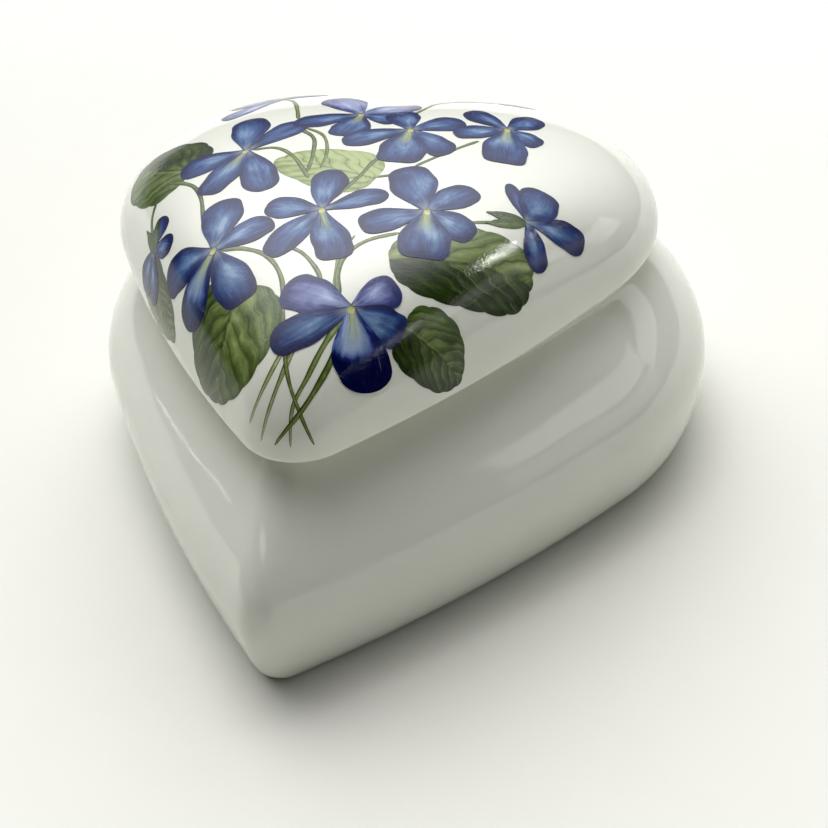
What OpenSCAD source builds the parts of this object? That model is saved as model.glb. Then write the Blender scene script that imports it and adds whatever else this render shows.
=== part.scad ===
// Heart-shaped porcelain trinket box: a bombe base and a loose domed lid that lifts off.
// Every horizontal section is a heart made only of tangent arcs, so the walls stay smooth.

/* [Base] */
// Overall width of the base at its widest line
body_w = 88.1; // [84:0.1:96]
// Overall length of the base from notch side to tip, at its widest line
body_l = 92.4; // [88:0.1:96]
// Height of the widest line above the table
belly_z = 10.6; // [9:0.1:12]
// Half the distance between the two lobe centres of the base
body_lobe = 11.25; // [10.5:0.05:12.5]
// Radius of the base's pointed end, at the widest line
body_tip_r = 4; // [3.6:0.05:6]
// Radius of the long, slightly bowed flank of the base
body_flank_r = 218; // [180:1:400]
// How far the foot stands in from the widest line
foot_inset = 3.3; // [2:0.05:4.5]
// Height where the hollowed shoulder runs into the short upright neck
neck_z = 26.8; // [25.6:0.1:27.4]
// Fullness of the side just above the belly
bow_p = 2.05; // [1.7:0.05:2.6]
// Hollowness of the shoulder below the neck; 1 gives a straight run into the neck
bow_b = 1.2; // [1:0.05:1.6]
// Thickness of the cast wall
wall = 3.2; // [2.8:0.1:3.6]
// Thickness of the floor above the foot recess
floor_t = 3.2; // [2.6:0.1:4]
// Depth of the recess inside the foot ring
foot_recess = 1; // [0.6:0.1:1.4]

/* [Lid] */
// Overall width of the lid
lid_w = 76; // [74:0.1:76.4]
// Half the distance between the two lobe centres of the lid
lid_lobe = 14.25; // [13.5:0.05:15]
// Radius of the lid's rounded tip
lid_tip_r = 8.2; // [7.2:0.1:9]
// Radius of the long flank of the lid
lid_flank_r = 176; // [150:1:300]
// Fillet radius in the notch of both pieces
notch_r = 6.85; // [5.5:0.05:8]
// Height of the lid's rim above the table
rim_z = 28.7; // [28.6:0.05:29.2]
// Height of the lid from its rim to the top of the dome
lid_h = 15.7; // [13:0.1:17]
// Squareness of the dome seen from above
dome_p = 2.69; // [2.2:0.01:3]
// Squareness of the dome seen from the side
dome_q = 1.85; // [1.6:0.01:2.1]
// Radius that the level lines tend to near the top of the dome, where the notch has faded out
dome_round = 37; // [34:0.5:40]
// Turn of the loose lid on the base at rest, in degrees
lid_turn = 4; // [0:0.5:4.5]
// Depth of the locating flange below the rim
flange_h = 4; // [3:0.1:4.5]
// Thickness of the locating flange
flange_t = 2.2; // [1.8:0.1:2.4]

/* [Fit] */
// How far the upright neck stands in from the edge of the lid
neck_inset = 4; // [3.4:0.05:4.4]
// Side clearance between the mouth and the locating flange
flange_gap = 3; // [2.9:0.05:3.4]
// Gap between the mouth's flat top and the lid's flat seat
seat_gap = 0.1; // [0.05:0.01:0.2]

/* [Hidden] */
// Points along half of each heart arc: notch, lobe, flank, tip
n_notch = 5;
n_lobe = 17;
n_flank = 9;
n_tip = 5;
// Position of the turned lid on the base
lid_shift = [-0.58, 0.4];
// Point about which the dome closes
dome_y = 0.65;
// Heart vector: lobe radius, lobe x, lobe y, tip y (down), tip radius, flank radius, notch fillet
belly = [body_w / 2 - body_lobe, body_lobe, body_l / 2 - (body_w / 2 - body_lobe),
         body_l / 2 - body_tip_r, body_tip_r, body_flank_r, notch_r];
foot = belly + foot_inset * [-1, 0, 0, -0.75, -0.25, 0, 0];
lid_rim = [lid_w / 2 - lid_lobe, lid_lobe, 15.8, 26.65, lid_tip_r, lid_flank_r, notch_r];
neck = inset(lid_rim, neck_inset);
mouth = inset(neck, wall - 0.6);
flange_out = inset(mouth, flange_gap, 2);
flange_in = inset(flange_out, flange_t, 1.6);
lid_cavity = inset(lid_rim, 4.2, 3);
belly_in = inset(belly, wall + 0.2, 2.4);
foot_in = inset(foot, 8.5, 3);
mouth_z = rim_z - seat_gap;
floor_z = foot_recess + floor_t;

// Centre of the flank arc that runs from the lobe circle to the tip circle
function flank_centre(v) =
    let (p1 = [v[1], v[2]], p0 = [0, -v[3]], r1 = v[5] - v[0], r0 = v[5] - v[4],
         d = norm(p0 - p1), e = (p0 - p1) / d,
         x = (r1 * r1 - r0 * r0 + d * d) / (2 * d), y = sqrt(r1 * r1 - x * x),
         n = [-e[1], e[0]], qa = p1 + x * e + y * n, qb = p1 + x * e - y * n)
    qa[0] < qb[0] ? qa : qb;

function ang(p) = atan2(p[1], p[0]);

// Half angle at the pointed end
function tip_angle(v) = -ang([0, -v[3]] - flank_centre(v));

// Parallel inward offset by d; the tip keeps at least the radius rmin
function inset(v, d, rmin = 0) =
    let (r = max(v[4] - d, rmin), back = (d + r - v[4]) / sin(tip_angle(v)))
    [v[0] - d, v[1], v[2], v[3] - back, r, v[5] - d, v[6] + d];

function arc(c, r, a0, a1, n) = [for (i = [0:n - 1]) let (a = a0 + (a1 - a0) * i / n) c + r * [cos(a), sin(a)]];

// Right half of the heart, from the notch round to the tip, without the last point
function half(v) =
    let (cl = [v[1], v[2]], ct = [0, -v[3]], cn = [0, v[2] + sqrt(pow(v[0] + v[6], 2) - v[1] * v[1])],
         cf = flank_centre(v), an = ang(cl - cn), af = ang(cl - cf), at = ang(ct - cf))
    concat(arc(cn, v[6], -90, an, n_notch), arc(cl, v[0], an + 180, af, n_lobe),
           arc(cf, v[5], af, at, n_flank), arc(ct, v[4], at, -90, n_tip));

// The whole heart outline, anticlockwise seen from above
function heart(v) =
    let (h = half(v), m = len(h))
    concat([[0, -v[3] - v[4]]], [for (i = [m - 1:-1:0]) h[i]], [for (i = [1:m - 1]) [-h[i][0], h[i][1]]]);

function at_z(pts, z) = [for (p = pts) [p[0], p[1], z]];

// Level line of a dome: the outline pts at s = 1, closing to a small circle as s goes to 0
function level(pts, s, r) =
    let (w = pow(max(1 - s * s, 0), 1.5))
    [for (p = pts) let (d = p - [0, dome_y], k = s * (1 - w + w * r / norm(d))) [0, dome_y] + k * d];
function mix(a, b, t) = a + (b - a) * t;

// Quarter superellipse: t runs from 0 to 1, gives [rise, run] each from 0 to 1
function quarter(t, p, q) = let (s = pow(max(cos(90 * t), 0), 2 / p)) [1 - s, pow(max(1 - pow(s, p), 0), 1 / q)];

function turned(f) = [for (i = [len(f) - 1:-1:0]) f[i]];

// Closed skin over a chain of rings, with a point at each end. A chain that starts
// under the body and ends inside it needs down = false, one that starts on top needs down = true.
module skin(first, rings, last, down = false) {
    n = len(rings[0]);
    m = len(rings);
    pts = concat([first], [for (r = rings) each r], [last]);
    faces = concat(
        [for (i = [0:n - 1]) [0, 1 + i, 1 + (i + 1) % n]],
        [for (k = [0:m - 2]) for (i = [0:n - 1]) let (a = 1 + k * n, j = (i + 1) % n)
            each [[a + i, a + n + i, a + n + j], [a + i, a + n + j, a + j]]],
        [for (i = [0:n - 1]) let (a = 1 + (m - 1) * n) [a + (i + 1) % n, a + i, n * m + 1]]);
    polyhedron(pts, down ? [for (f = faces) turned(f)] : faces, convexity = 8);
}

// Side profile above the belly: 1 at the belly (t = 0), 0 at the neck (t = 1)
function bow(t) = pow(max(1 - pow(t, bow_p), 0), bow_b);

// Belly and hollowed shoulder: from the foot up to the neck
base_outer = concat(
    [for (i = [0:6]) let (k = quarter(i / 7, 1.7, 1.7)) at_z(heart(mix(foot, belly, k[1])), belly_z * k[0])],
    [for (i = [0:15]) let (t = i / 15) at_z(heart(mix(neck, belly, bow(t))), belly_z + (neck_z - belly_z) * t)]);

// Upright neck, then the flat mouth
base_mouth = [
    at_z(heart(neck), mouth_z - 0.25),
    at_z(heart(inset(neck, 0.25)), mouth_z),
    at_z(heart(inset(mouth, -0.3)), mouth_z),
    at_z(heart(mouth), mouth_z - 0.3)];

inner_top = neck_z - 2.2;
inner_low = belly_z + 0.4;
base_inner = concat(
    [for (i = [0:10]) let (t = 1 - i / 10)
        at_z(heart(mix(mouth, belly_in, bow(t))), inner_low + (inner_top - inner_low) * t)],
    [for (i = [5:-1:0]) let (k = quarter(i / 6, 1.8, 1.8))
        at_z(heart(mix(foot_in, belly_in, k[1])), floor_z + (inner_low - floor_z) * k[0])]);

module box_base() {
    color([0.86, 0.87, 0.82])
        skin([0, 0, foot_recess],
             concat([at_z(heart(inset(foot, 3.8, 1.5)), foot_recess), at_z(heart(inset(foot, 3, 1.5)), 0)],
                    base_outer, base_mouth, base_inner),
             [0, 0, floor_z]);
}

lid_outer = concat(
    [for (i = [12:-1:0]) let (s = pow(cos(90 * i / 13), 2 / dome_p))
        at_z(level(heart(lid_rim), s, dome_round), rim_z + 0.9 + (lid_h - 0.9) * pow(1 - pow(s, dome_p), 1 / dome_q))],
    [at_z(heart(inset(lid_rim, 0.25)), rim_z + 0.3),
     at_z(heart(inset(lid_rim, 0.8)), rim_z)]);

lid_under = [
    at_z(heart(flange_out), rim_z),
    at_z(heart(inset(flange_out, 0.2, 1.8)), rim_z - flange_h + 0.5),
    at_z(heart(inset(flange_out, 0.6, 1.6)), rim_z - flange_h),
    at_z(heart(inset(flange_in, -0.4)), rim_z - flange_h),
    at_z(heart(flange_in), rim_z - flange_h + 0.5),
    at_z(heart(flange_in), rim_z - 0.2),
    at_z(heart(mix(flange_in, lid_cavity, 0.35)), rim_z + 1.2),
    at_z(heart(mix(flange_in, lid_cavity, 0.8)), rim_z + 2.1)];

lid_inner = [for (i = [0:9]) let (s = pow(cos(90 * i / 10), 2 / dome_p))
    at_z(level(heart(lid_cavity), s, dome_round - 4.2), rim_z + 3.4 + (lid_h - wall - 3.4) * pow(1 - pow(s, dome_p), 1 / dome_q))];

module lid() {
    color([0.93, 0.93, 0.88])
        translate([lid_shift[0], lid_shift[1], 0])
            rotate([0, 0, lid_turn])
                skin([0, dome_y, rim_z + lid_h],
                     concat(lid_outer, lid_under, lid_inner),
                     [0, dome_y, rim_z + lid_h - wall], down = true);
}

box_base();
lid();
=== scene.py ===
import bpy, math
import numpy as np
from mathutils import Matrix, Vector


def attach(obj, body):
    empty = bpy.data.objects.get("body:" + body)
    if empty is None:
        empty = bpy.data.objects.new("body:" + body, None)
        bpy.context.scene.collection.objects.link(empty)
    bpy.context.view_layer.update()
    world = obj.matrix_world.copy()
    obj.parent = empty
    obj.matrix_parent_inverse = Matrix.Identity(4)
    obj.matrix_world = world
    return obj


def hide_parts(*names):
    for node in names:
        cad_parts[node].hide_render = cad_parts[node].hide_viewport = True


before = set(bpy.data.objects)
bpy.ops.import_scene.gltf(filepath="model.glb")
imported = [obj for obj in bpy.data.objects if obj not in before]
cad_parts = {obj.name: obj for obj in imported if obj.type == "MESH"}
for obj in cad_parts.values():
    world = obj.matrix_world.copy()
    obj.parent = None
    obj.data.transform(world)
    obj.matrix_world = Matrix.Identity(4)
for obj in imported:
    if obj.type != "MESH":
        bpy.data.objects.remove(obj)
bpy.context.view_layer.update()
scene = bpy.context.scene

# ---------------------------------------------------------------- camera (first, everything else is in CAD metres)
CAM = dict(A=20.4126, E=41.1845, D=200.0, roll=5.785, f=1469.611, t=(7.6936, -5.3427, 12.5412))


def make_camera():
    a, e, r = (math.radians(CAM[k]) for k in ("A", "E", "roll"))
    back = Vector((math.sin(a) * math.cos(e), -math.cos(a) * math.cos(e), math.sin(e)))
    right = Vector((math.cos(a), math.sin(a), 0))
    up = back.cross(right)
    x = right * math.cos(r) - up * math.sin(r)
    y = right * math.sin(r) + up * math.cos(r)
    pos = (Vector(CAM["t"]) + back * CAM["D"]) * 0.001
    m = Matrix((x, y, back)).transposed().to_4x4()
    m.translation = pos
    cam = bpy.data.objects.new("camera", bpy.data.cameras.new("camera"))
    scene.collection.objects.link(cam)
    cam.matrix_world = m
    cam.data.sensor_width = 36
    cam.data.lens = CAM["f"] / 828 * 36
    cam.data.clip_start, cam.data.clip_end = 0.01, 10
    scene.camera = cam


make_camera()

# ---------------------------------------------------------------- heart sections, the same rule as the CAD
BELLY = np.array([32.8, 11.25, 13.4, 42.2, 4.0, 218, 6.85])
FOOT_INSET = 3.3
FOOT = BELLY + FOOT_INSET * np.array([-1, 0, 0, -0.75, -0.25, 0, 0])
LID = np.array([23.75, 14.25, 15.8, 26.65, 8.2, 176, 6.85])
BELLY_Z, RIM_Z, LID_H, MOUTH_Z, WALL = 10.6, 28.7, 15.7, 28.6, 3.2
DOME_P, DOME_Q, DOME_Y, DOME_R = 2.69, 1.85, 0.65, 37.0
TURN, SHIFT = math.radians(4.0), np.array([-0.58, 0.4])
HALF = (18, 56, 40, 18)
pi = math.pi


def ang(p):
    return math.atan2(p[1], p[0])


def flank_centre(v):
    p1, p0 = np.array([v[1], v[2]]), np.array([0, -v[3]])
    r1, r0 = v[5] - v[0], v[5] - v[4]
    d = np.hypot(*(p0 - p1))
    e = (p0 - p1) / d
    x = (r1 * r1 - r0 * r0 + d * d) / (2 * d)
    y = math.sqrt(r1 * r1 - x * x)
    n = np.array([-e[1], e[0]])
    qa, qb = p1 + x * e + y * n, p1 + x * e - y * n
    return qa if qa[0] < qb[0] else qb


def inset(v, d, rmin=0.0):
    v = np.asarray(v, float)
    t = -ang(np.array([0, -v[3]]) - flank_centre(v))
    r = max(v[4] - d, rmin)
    return np.array([v[0] - d, v[1], v[2], v[3] - (d + r - v[4]) / math.sin(t), r, v[5] - d, v[6] + d])


def arc(c, r, a0, a1, n):
    t = a0 + (a1 - a0) * np.arange(n) / n
    return c + r * np.c_[np.cos(t), np.sin(t)]


def heart(v, n=HALF):
    cl, ct = np.array([v[1], v[2]]), np.array([0, -v[3]])
    cn = np.array([0, v[2] + math.sqrt((v[0] + v[6]) ** 2 - v[1] ** 2)])
    cf = flank_centre(v)
    an, af, at = ang(cl - cn), ang(cl - cf), ang(ct - cf)
    h = np.vstack([arc(cn, v[6], -pi / 2, an, n[0]), arc(cl, v[0], an + pi, af, n[1]),
                   arc(cf, v[5], af, at, n[2]), arc(ct, v[4], at, -pi / 2, n[3])])
    return np.vstack([[[0, -v[3] - v[4]]], h[::-1], h[1:] * [-1, 1]])


NECK_IN, NECK_Z, BOW_P, BOW_B = 4.0, 26.8, 2.05, 1.2
NECK = inset(LID, NECK_IN)
MOUTH = inset(NECK, WALL - 0.6)
FLANGE_OUT = inset(MOUTH, 3, 2)
FLANGE_IN = inset(FLANGE_OUT, 2.2, 1.6)
CAVITY = inset(LID, 4.2, 3)
BELLY_IN, FOOT_IN = inset(BELLY, WALL + 0.2, 2.4), inset(FOOT, 8.5, 3)


def quarter(t, p, q):
    s = max(math.cos(pi / 2 * t), 0) ** (2 / p)
    return 1 - s, max(1 - s ** p, 0) ** (1 / q)


def mix(a, b, t):
    return a + (b - a) * t


def bow(n, run):
    """Heights 0..1 spaced evenly along the side profile."""
    t = np.linspace(0, 1, 2001)
    k = (1 - t ** BOW_P) ** BOW_B
    l = np.r_[0, np.cumsum(np.hypot(np.diff(t * (NECK_Z - BELLY_Z)), np.diff(k * run)))]
    return np.interp(np.linspace(0, l[-1], n + 1), l, t)


def at_z(h, z):
    return np.c_[h, np.full(len(h), z)]


def level(h, s, r):
    w = max(1 - s * s, 0) ** 1.5
    d = h - [0, DOME_Y]
    return [0, DOME_Y] + d * (s * (1 - w + w * r / np.hypot(*d.T)))[:, None]


def even_s(n, h, p, q, r0):
    """Values of s from 1 to 0, evenly spaced along the dome's arc."""
    t = np.linspace(0, 1, 2001)
    s = np.cos(pi / 2 * t) ** (2 / p)
    s[-1] = 0
    z = h * np.clip(1 - s ** p, 0, 1) ** (1 / q)
    l = np.r_[0, np.cumsum(np.hypot(np.diff(s * r0), np.diff(z)))]
    return np.interp(np.linspace(0, l[-1], n + 1), l, s)


# ---------------------------------------------------------------- mesh helpers
def new_mesh(name, verts_mm, faces, attrs=None, smooth=True, sharp_after=None):
    """verts in millimetres; attrs: name -> one float per vertex."""
    me = bpy.data.meshes.new(name)
    me.from_pydata((np.asarray(verts_mm) * 0.001).tolist(), [], faces)
    me.update()
    if smooth:
        me.polygons.foreach_set("use_smooth", [True] * len(me.polygons))
    for k, v in (attrs or {}).items():
        a = me.attributes.new(k, "FLOAT", "POINT")
        a.data.foreach_set("value", np.asarray(v, np.float32))
    me.update()
    ob = bpy.data.objects.new(name, me)
    scene.collection.objects.link(ob)
    return ob


def volume(v, faces):
    t = 0.0
    for f in faces:
        for k in range(1, len(f) - 1):
            t += np.dot(v[f[0]], np.cross(v[f[k]], v[f[k + 1]]))
    return t / 6


def skin(name, first, rings, last, tags):
    """Closed skin over a chain of rings with a point at each end. tags: name -> one value per ring (ends take the nearest)."""
    n, m = len(rings[0]), len(rings)
    v = np.vstack([[first]] + list(rings) + [[last]])
    f = [(0, 1 + i, 1 + (i + 1) % n) for i in range(n)]
    for k in range(m - 1):
        a = 1 + k * n
        f += [(a + i, a + n + i, a + n + (i + 1) % n, a + (i + 1) % n) for i in range(n)]
    a = 1 + (m - 1) * n
    f += [(a + (i + 1) % n, a + i, n * m + 1) for i in range(n)]
    if volume(v, f) < 0:
        f = [t[::-1] for t in f]
    attrs = {k: np.r_[t[0], np.repeat(t, n), t[-1]] for k, t in tags.items()}
    return v, f, attrs


# ---------------------------------------------------------------- base
def base_piece():
    R, glaze, pool_and_shade = [], [], []

    # p feeds pool_and_shade: a greener glaze-pooling tint plus painted shade where it darkens the colour
    def add(h, z, g=1.0, p=0.0):
        R.append(at_z(h, z)); glaze.append(g); pool_and_shade.append(p)

    rec = inset(FOOT, 3.9, 1.5)
    c = np.array([0, 0.8])
    for k in (0.12, 0.3, 0.5, 0.7, 0.86, 0.96):
        add(c + (heart(rec) - c) * k, 1.0, 1.0, 0.2)
    add(heart(rec), 1.0, 1.0, 0.9)
    for t in np.linspace(0, 1, 7)[1:]:
        add(heart(inset(FOOT, 3.8 - 0.7 * t, 1.5)), 1.0 * (1 - t ** 1.5), 1 - t, 0.5)
    add(heart(inset(FOOT, 2.9, 1.5)), 0.0, 0)
    add(heart(inset(FOOT, 1.8, 1.5)), 0.0, 0)
    add(heart(inset(FOOT, 0.7, 1.5)), 0.0, 0)
    m = 26
    for i in range(m):
        k = quarter(i / m, 1.7, 1.7)
        # pool_and_shade rises towards the floor here: painted shade at the foot
        add(heart(mix(FOOT, BELLY, k[1])), BELLY_Z * k[0], min(1, max(0, (BELLY_Z * k[0] - 0.12) / 0.22)), math.exp(-(BELLY_Z * k[0] / 0.9) ** 2))
    # bombe side: full at the belly, then hollowed into the upright neck
    for t in bow(60, 14):
        z = BELLY_Z + (NECK_Z - BELLY_Z) * t
        # pool_and_shade peaks at the neck under the lid rim: painted shade there
        add(heart(mix(NECK, BELLY, (1 - t ** BOW_P) ** BOW_B)), z, 1, math.exp(-((NECK_Z + 0.3 - z) / 2.2) ** 2))
    for z in (NECK_Z + 0.4, NECK_Z + 0.8, MOUTH_Z - 0.45):
        if z < MOUTH_Z - 0.4:
            add(heart(NECK), z, 1, 1)
    for t in np.linspace(0, 1, 5):
        add(heart(inset(NECK, 0.25 * (1 - math.cos(t * pi / 2)))), MOUTH_Z - 0.25 + 0.25 * math.sin(t * pi / 2), 1 - t, 0)
    for k in (0.25, 0.5, 0.75):
        add(heart(inset(NECK, 0.25 + (WALL - 1.15) * k)), MOUTH_Z, 0)
    for t in np.linspace(0, 1, 6):
        add(heart(inset(MOUTH, -0.3 + 0.3 * math.sin(t * pi / 2))), MOUTH_Z - 0.3 + 0.3 * math.cos(t * pi / 2), t, 0)
    top, low = NECK_Z - 2.2, BELLY_Z + 0.4
    for z in np.linspace(MOUTH_Z - 0.7, top + 0.3, 6):
        add(heart(MOUTH), z)
    for t in bow(40, 12)[::-1]:
        add(heart(mix(MOUTH, BELLY_IN, (1 - t ** BOW_P) ** BOW_B)), low + (top - low) * t)
    m, fz = 26, 4.2
    for i in range(m - 1, -1, -1):
        k = quarter(i / m, 1.8, 1.8)
        add(heart(mix(FOOT_IN, BELLY_IN, k[1])), fz + (low - fz) * k[0], 1, 0.5 * (1 - k[0]))
    for k in (0.93, 0.8, 0.62, 0.45, 0.28, 0.12):
        add(c + (heart(FOOT_IN) - c) * k, fz, 1, 0.3)
    v, f, attrs = skin("base", [0, 0.8, 1.0], R, [0, 0.8, fz], {"glaze": glaze, "pool_and_shade": pool_and_shade})
    return new_mesh("porcelain_base", v, f, attrs)


# ---------------------------------------------------------------- lid
LID_M = np.array([[math.cos(TURN), -math.sin(TURN), 0], [math.sin(TURN), math.cos(TURN), 0], [0, 0, 1]])


def to_row(p):
    """Lid's own frame to the row frame, in mm."""
    q = np.asarray(p) @ LID_M.T
    return q + [SHIFT[0], SHIFT[1], 0]


def lid_piece():
    R, glaze, pool_and_shade = [], [], []

    def add(h, z, g=1.0, p=0.0):
        # p feeds pool_and_shade: painted shade on the rounding under the lid rim
        R.append(at_z(h, z)); glaze.append(g); pool_and_shade.append(p)

    s = even_s(64, LID_H - 0.9, DOME_P, DOME_Q, 38)[::-1]
    for k in s[1:-1]:
        add(level(heart(LID), k, DOME_R), RIM_Z + 0.9 + (LID_H - 0.9) * (1 - k ** DOME_P) ** (1 / DOME_Q))
    for t in np.linspace(0, 1, 10):
        add(heart(inset(LID, 0.8 * (1 - math.cos(t * pi / 2)))), RIM_Z + 0.9 * (1 - math.sin(t * pi / 2)), min(1, max(0, (1 - t) * 6)), 0)
    for k in (0.2, 0.45, 0.7, 0.9):
        add(heart(mix(inset(LID, 0.8), FLANGE_OUT, k)), RIM_Z, 0)
    add(heart(inset(FLANGE_OUT, -0.25)), RIM_Z, 0, 0)
    for t in np.linspace(0, 1, 5)[1:]:
        add(heart(inset(FLANGE_OUT, -0.25 + 0.25 * math.sin(t * pi / 2), 2)), RIM_Z - 0.25 * (1 - math.cos(t * pi / 2)), t, 0.4)
    for z in (-1.2, -2.2, -3.0):
        add(heart(inset(FLANGE_OUT, 0.06 * -z, 1.9)), RIM_Z + z)
    for t in np.linspace(0, 1, 7):
        add(heart(inset(FLANGE_OUT, 0.2 + 0.55 * (1 - math.cos(t * pi / 2)), 1.7)), RIM_Z - 3.45 - 0.55 * math.sin(t * pi / 2))
    for t in np.linspace(0, 1, 7):
        add(heart(inset(FLANGE_IN, -0.55 * (1 - math.sin(t * pi / 2)))), RIM_Z - 4.0 + 0.55 * (1 - math.cos(t * pi / 2)))
    for z in (-2.9, -2.2, -1.4, -0.7, -0.2):
        add(heart(FLANGE_IN), RIM_Z + z)
    for t in np.linspace(0, 1, 16)[1:]:
        k = 0.5 - 0.5 * math.cos(pi * t)
        add(heart(mix(FLANGE_IN, CAVITY, k)), RIM_Z - 0.2 + 3.6 * (t - 0.16 * math.sin(2 * pi * t)))
    s = even_s(40, LID_H - WALL - 3.4, DOME_P, DOME_Q, 33)
    for k in s[1:-1]:
        add(level(heart(CAVITY), k, DOME_R - 4.2), RIM_Z + 3.4 + (LID_H - WALL - 3.4) * (1 - k ** DOME_P) ** (1 / DOME_Q))
    v, f, attrs = skin("lid", [0, DOME_Y, RIM_Z + LID_H], R, [0, DOME_Y, RIM_Z + LID_H - WALL], {"glaze": glaze, "pool_and_shade": pool_and_shade})
    return new_mesh("porcelain_lid", to_row(v), f, attrs)


# ---------------------------------------------------------------- the print's own plane, wrapped over the dome by arc length
class Dome:
    NT, NS = 720, 420

    def __init__(self):
        h = heart(LID, (200, 900, 700, 300))
        d = h - [0, DOME_Y]
        th, r = np.arctan2(d[:, 1], d[:, 0]), np.hypot(*d.T)
        o = np.argsort(th)
        th, r = th[o], r[o]
        T = np.linspace(-pi, pi, self.NT + 1)
        rho = np.interp(T, np.r_[th - 2 * pi, th, th + 2 * pi], np.r_[r, r, r])
        t = np.linspace(1, 0, 1601)
        s = np.cos(pi / 2 * t) ** (2 / DOME_P)
        s[0], s[-1] = 0, 1
        w = np.clip(1 - s * s, 0, 1) ** 1.5
        rr = s[None] * (rho[:, None] * (1 - w) + DOME_R * w)
        z = RIM_Z + 0.9 + (LID_H - 0.9) * np.clip(1 - s ** DOME_P, 0, 1) ** (1 / DOME_Q)
        zz = np.broadcast_to(z, rr.shape)
        A = np.zeros_like(rr)
        A[:, 1:] = np.cumsum(np.hypot(np.diff(rr, axis=1), np.diff(zz, axis=1)), axis=1)
        self.L = A[:, -1]
        fr = np.linspace(0, 1, self.NS + 1)
        R2 = np.array([np.interp(fr * A[i, -1], A[i], rr[i]) for i in range(len(T))])
        Z2 = np.array([np.interp(fr * A[i, -1], A[i], zz[i]) for i in range(len(T))])
        self.G = np.dstack([R2 * np.cos(T)[:, None], DOME_Y + R2 * np.sin(T)[:, None], Z2])
        Gp = np.vstack([self.G[-2:-1], self.G, self.G[1:2]])
        dt = Gp[2:] - Gp[:-2]
        ds = np.gradient(self.G, axis=1)
        N = np.cross(ds, dt)
        N /= np.linalg.norm(N, axis=2, keepdims=True) + 1e-12
        N[:, 0] = (0, 0, 1)
        self.N = N

    def at(self, X, Y, h):
        """Points at height h (mm) over the glaze for print coordinates X, Y (mm from the top of the dome)."""
        X, Y = np.asarray(X, float), np.asarray(Y, float)
        th, l = np.arctan2(Y, X), np.hypot(X, Y)
        a = (th + pi) / (2 * pi) * self.NT
        i = np.clip(a.astype(int), 0, self.NT - 1)
        a = a - i
        lm = self.L[i] * (1 - a) + self.L[i + 1] * a
        b = np.clip(l / lm, 0, 0.9995) * self.NS
        j = np.clip(b.astype(int), 0, self.NS - 1)
        b = b - j
        a, b = a[:, None], b[:, None]

        def bil(Q):
            return (Q[i, j] * (1 - a) + Q[i + 1, j] * a) * (1 - b) + (Q[i, j + 1] * (1 - a) + Q[i + 1, j + 1] * a) * b
        n = bil(self.N)
        n /= np.linalg.norm(n, axis=1, keepdims=True)
        return bil(self.G) + n * np.broadcast_to(np.asarray(h, float), l.shape)[:, None]


DOME = Dome()

# ---------------------------------------------------------------- shader helpers
def lin(r, g, b, k=1.0):
    def f(c):
        c /= 255
        return (c / 12.92 if c <= 0.04045 else ((c + 0.055) / 1.055) ** 2.4) * k
    return (min(f(r), 1), min(f(g), 1), min(f(b), 1), 1)


class Mat:
    def __init__(self, name):
        self.m = bpy.data.materials.new(name)
        self.m.use_nodes = True
        self.t = self.m.node_tree
        self.t.nodes.clear()

    def add(self, kind, ins=None, **props):
        n = self.t.nodes.new(kind)
        for k, v in props.items():
            setattr(n, k, v)
        for k, v in (ins or {}).items():
            if isinstance(v, bpy.types.NodeSocket):
                self.t.links.new(v, n.inputs[k])
            else:
                n.inputs[k].default_value = v
        return n

    def attr(self, name):
        return self.add("ShaderNodeAttribute", attribute_name=name).outputs["Fac"]

    def math(self, op, a, b=0.0, c=0.0, clamp=False):
        ins = {0: a, 1: b} if op not in ("MULTIPLY_ADD", "SMOOTH_MIN", "SMOOTH_MAX") else {0: a, 1: b, 2: c}
        return self.add("ShaderNodeMath", ins, operation=op, use_clamp=clamp).outputs[0]

    def mix(self, f, a, b, blend="MIX"):
        return self.add("ShaderNodeMix", {0: f, 6: a, 7: b}, data_type="RGBA", blend_type=blend).outputs[2]

    def xyz(self, x, y, z):
        return self.add("ShaderNodeCombineXYZ", {0: x, 1: y, 2: z}).outputs[0]

    def noise(self, vec, scale, detail=2.0, rough=0.5, dist=0.0):
        return self.add("ShaderNodeTexNoise", {"Vector": vec, "Scale": scale, "Detail": detail, "Roughness": rough, "Distortion": dist}).outputs[0]

    def smooth(self, v, lo, hi, a=0.0, b=1.0):
        return self.add("ShaderNodeMapRange", {0: v, 1: lo, 2: hi, 3: a, 4: b}, interpolation_type="SMOOTHSTEP").outputs[0]

    def ramp(self, f, stops):
        n = self.add("ShaderNodeValToRGB", {0: f})
        e = n.color_ramp.elements
        while len(e) > 1:
            e.remove(e[-1])
        e[0].position, e[0].color = stops[0]
        for p, c in stops[1:]:
            e.new(p).color = c
        return n.outputs[0]

    def objco(self):
        return self.add("ShaderNodeTexCoord").outputs["Object"]

    def bump(self, h, strength, dist, normal=None):
        ins = {"Height": h, "Strength": strength, "Distance": dist}
        if normal is not None:
            ins["Normal"] = normal
        return self.add("ShaderNodeBump", ins).outputs[0]

    def out(self, bsdf):
        o = self.add("ShaderNodeOutputMaterial")
        self.t.links.new(bsdf.outputs[0], o.inputs[0])
        return self.m


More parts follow.
